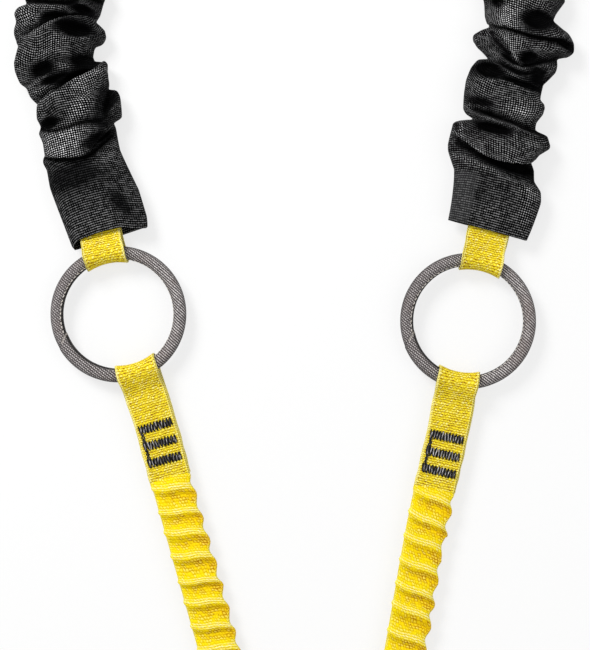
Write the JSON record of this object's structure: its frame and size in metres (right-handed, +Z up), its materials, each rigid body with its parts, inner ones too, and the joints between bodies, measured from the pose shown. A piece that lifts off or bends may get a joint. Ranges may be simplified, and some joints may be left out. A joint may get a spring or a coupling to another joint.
{
  "type": "energy absorbing y-lanyard",
  "caption": "Y-shaped fall arrest lanyard: zipped energy absorber, gathered elastic arms, covered tie-back rings, black sleeves and large double-action hooks.",
  "frame": {"origin": "centre of the lanyard's outline on the surface it lies on", "axes": "+Z up from the surface; +Y along the lanyard, from the harness hook to the two large hooks, up in the picture; +X to the right in the picture"},
  "size_m": [0.4132, 1.3962, 0.0258],
  "materials": {
    "yellow_webbing": "woven polyester, matt",
    "tear_webbing": "woven polyester, matt",
    "sleeve_nylon": "coarse tubular weave, matt",
    "pouch_fabric": "coated woven, matt",
    "ring_cover_weave": "fine twill, matt",
    "tack_thread": "thick sewing thread",
    "elastic": "covered rubber tape",
    "zip_plastic": "moulded",
    "forged_steel": "zinc plated forging",
    "pressed_steel": "zinc plated sheet",
    "polished_steel": "bright plated",
    "spring_steel": "bare spring wire"
  },
  "bodies": {
    "absorber": {"tear_webbing": "tear_webbing", "absorber_arm_tack": "tack_thread", "absorber_harness_tack": "tack_thread", "pouch_front_shell": "pouch_fabric", "pouch_back_shell": "pouch_fabric", "zip_chain": "zip_plastic"},
    "zip_slider": {"zip_slider": "zip_plastic"},
    "yoke_link": {"yoke_link": "polished_steel"},
    "harness_hook": {"harness_hook_body": "forged_steel", "harness_webbing_pin": "polished_steel", "harness_gate_rivet": "polished_steel", "harness_lever_rivet": "polished_steel", "harness_gate_spring": "spring_steel", "harness_lever_spring": "spring_steel"},
    "harness_gate": {"harness_hook_gate": "pressed_steel"},
    "harness_lever": {"harness_hook_lever": "pressed_steel"},
    "left_arm": {"left_yoke_loop": "yellow_webbing", "left_yoke_tack": "tack_thread", "left_lower_gathers": "yellow_webbing", "left_lower_elastic_core": "elastic"},
    "left_arm_end": {"left_lower_ring_loop": "yellow_webbing", "left_lower_ring_tack": "tack_thread"},
    "left_ring": {"left_ring_steel": "polished_steel", "left_ring_cover": "ring_cover_weave"},
    "left_upper_arm": {"left_upper_ring_loop": "yellow_webbing", "left_upper_ring_tack": "tack_thread", "left_upper_webbing": "yellow_webbing", "left_sleeve": "sleeve_nylon"},
    "left_upper_end": {"left_hook_loop": "yellow_webbing", "left_hook_tack": "tack_thread"},
    "left_hook": {"left_hook_body": "forged_steel", "left_webbing_pin": "polished_steel", "left_gate_rivet": "polished_steel", "left_lever_rivet": "polished_steel", "left_gate_spring": "spring_steel", "left_lever_spring": "spring_steel"},
    "left_gate": {"left_hook_gate": "pressed_steel"},
    "left_lever": {"left_hook_lever": "pressed_steel"},
    "right_arm": {"right_yoke_loop": "yellow_webbing", "right_yoke_tack": "tack_thread", "right_lower_gathers": "yellow_webbing", "right_lower_elastic_core": "elastic"},
    "right_arm_end": {"right_lower_ring_loop": "yellow_webbing", "right_lower_ring_tack": "tack_thread"},
    "right_ring": {"right_ring_steel": "polished_steel", "right_ring_cover": "ring_cover_weave"},
    "right_upper_arm": {"right_upper_ring_loop": "yellow_webbing", "right_upper_ring_tack": "tack_thread", "right_upper_webbing": "yellow_webbing", "right_sleeve": "sleeve_nylon"},
    "right_upper_end": {"right_hook_loop": "yellow_webbing", "right_hook_tack": "tack_thread"},
    "right_hook": {"right_hook_body": "forged_steel", "right_webbing_pin": "polished_steel", "right_gate_rivet": "polished_steel", "right_lever_rivet": "polished_steel", "right_gate_spring": "spring_steel", "right_lever_spring": "spring_steel"},
    "right_gate": {"right_hook_gate": "pressed_steel"},
    "right_lever": {"right_hook_lever": "pressed_steel"}
  },
  "joints": [
    {"name": "zip_slide", "type": "slide", "parent": "absorber", "child": "zip_slider", "axis": [0.0497, -0.9988, 0], "range_m": [0, 0.1]},
    {"name": "yoke_link_swing", "type": "hinge", "parent": "absorber", "child": "yoke_link", "pos_m": [0.02019, -0.35429, 0.0064], "axis": [0.9988, 0.0497, 0], "range_deg": [-90, 90]},
    {"name": "harness_hook_swing", "type": "hinge", "parent": "absorber", "child": "harness_hook", "pos_m": [0.03197, -0.591, 0.007], "axis": [-0.9988, -0.0497, 0], "range_deg": [-100, 100]},
    {"name": "harness_gate_turn", "type": "hinge", "parent": "harness_hook", "child": "harness_gate", "pos_m": [0.02228, -0.62752, 0.007], "axis": [0, 0, 1], "range_deg": [0, 30], "stiffness_Nm_per_rad": 0.15, "springref_deg": -57.3, "deforming": ["harness_gate_spring"]},
    {"name": "harness_lever_squeeze", "type": "hinge", "parent": "harness_hook", "child": "harness_lever", "pos_m": [0.05693, -0.65984, 0.007], "axis": [0, 0, 1], "range_deg": [0, 8], "stiffness_Nm_per_rad": 0.3, "springref_deg": -28.65, "deforming": ["harness_lever_spring"]},
    {"name": "left_arm_swing", "type": "hinge", "parent": "yoke_link", "child": "left_arm", "pos_m": [0.0037, -0.31706, 0.0064], "axis": [-0.962, -0.2731, 0], "range_deg": [-60, 60]},
    {"name": "left_arm_stretch", "type": "slide", "parent": "left_arm", "child": "left_arm_end", "axis": [-0.2744, 0.9616, 0.0056], "range_m": [0, 0.11], "stiffness_N_per_m": 60, "deforming": ["left_lower_gathers", "left_lower_elastic_core"]},
    {"name": "left_ring_swing", "type": "hinge", "parent": "left_arm_end", "child": "left_ring", "pos_m": [-0.0955, 0.0306, 0.00843], "axis": [0.9478, 0.319, 0], "range_deg": [-100, 100]},
    {"name": "left_upper_swing", "type": "hinge", "parent": "left_ring", "child": "left_upper_arm", "pos_m": [-0.11562, 0.10171, 0.00843], "axis": [-0.9744, -0.225, 0], "range_deg": [-100, 100]},
    {"name": "left_upper_stretch", "type": "slide", "parent": "left_upper_arm", "child": "left_upper_end", "axis": [-0.025, 0.9997, -0.0038], "range_m": [0, 0.12], "stiffness_N_per_m": 60, "deforming": ["left_upper_webbing", "left_sleeve"]},
    {"name": "left_hook_swing", "type": "hinge", "parent": "left_upper_end", "child": "left_hook", "pos_m": [-0.125, 0.47706, 0.007], "axis": [1, 0, 0], "range_deg": [-100, 100]},
    {"name": "left_gate_turn", "type": "hinge", "parent": "left_hook", "child": "left_gate", "pos_m": [-0.099, 0.52306, 0.007], "axis": [0, 0, 1], "range_deg": [0, 42], "stiffness_Nm_per_rad": 0.15, "springref_deg": -57.3, "deforming": ["left_gate_spring"]},
    {"name": "left_lever_squeeze", "type": "hinge", "parent": "left_hook", "child": "left_lever", "pos_m": [-0.1815, 0.61106, 0.007], "axis": [0, 0, 1], "range_deg": [0, 8], "stiffness_Nm_per_rad": 0.3, "springref_deg": -28.65, "deforming": ["left_lever_spring"]},
    {"name": "right_arm_swing", "type": "hinge", "parent": "yoke_link", "child": "right_arm", "pos_m": [0.0329, -0.31561, 0.0064], "axis": [-0.9843, 0.1762, 0], "range_deg": [-60, 60]},
    {"name": "right_arm_stretch", "type": "slide", "parent": "right_arm", "child": "right_arm_end", "axis": [0.1834, 0.983, 0.0058], "range_m": [0, 0.11], "stiffness_N_per_m": 60, "deforming": ["right_lower_gathers", "right_lower_elastic_core"]},
    {"name": "right_ring_swing", "type": "hinge", "parent": "right_arm_end", "child": "right_ring", "pos_m": [0.09646, 0.02508, 0.00843], "axis": [0.9833, -0.1822, 0], "range_deg": [-100, 100]},
    {"name": "right_upper_swing", "type": "hinge", "parent": "right_ring", "child": "right_upper_arm", "pos_m": [0.11121, 0.09759, 0.00843], "axis": [-0.9763, 0.2164, 0], "range_deg": [-100, 100]},
    {"name": "right_upper_stretch", "type": "slide", "parent": "right_upper_arm", "child": "right_upper_end", "axis": [0.0363, 0.9993, -0.0038], "range_m": [0, 0.12], "stiffness_N_per_m": 60, "deforming": ["right_upper_webbing", "right_sleeve"]},
    {"name": "right_hook_swing", "type": "hinge", "parent": "right_upper_end", "child": "right_hook", "pos_m": [0.125, 0.47706, 0.007], "axis": [1, 0, 0], "range_deg": [-100, 100]},
    {"name": "right_gate_turn", "type": "hinge", "parent": "right_hook", "child": "right_gate", "pos_m": [0.099, 0.52306, 0.007], "axis": [0, 0, -1], "range_deg": [0, 42], "stiffness_Nm_per_rad": 0.15, "springref_deg": -57.3, "deforming": ["right_gate_spring"]},
    {"name": "right_lever_squeeze", "type": "hinge", "parent": "right_hook", "child": "right_lever", "pos_m": [0.1815, 0.61106, 0.007], "axis": [0, 0, -1], "range_deg": [0, 8], "stiffness_Nm_per_rad": 0.3, "springref_deg": -28.65, "deforming": ["right_lever_spring"]}
  ]
}
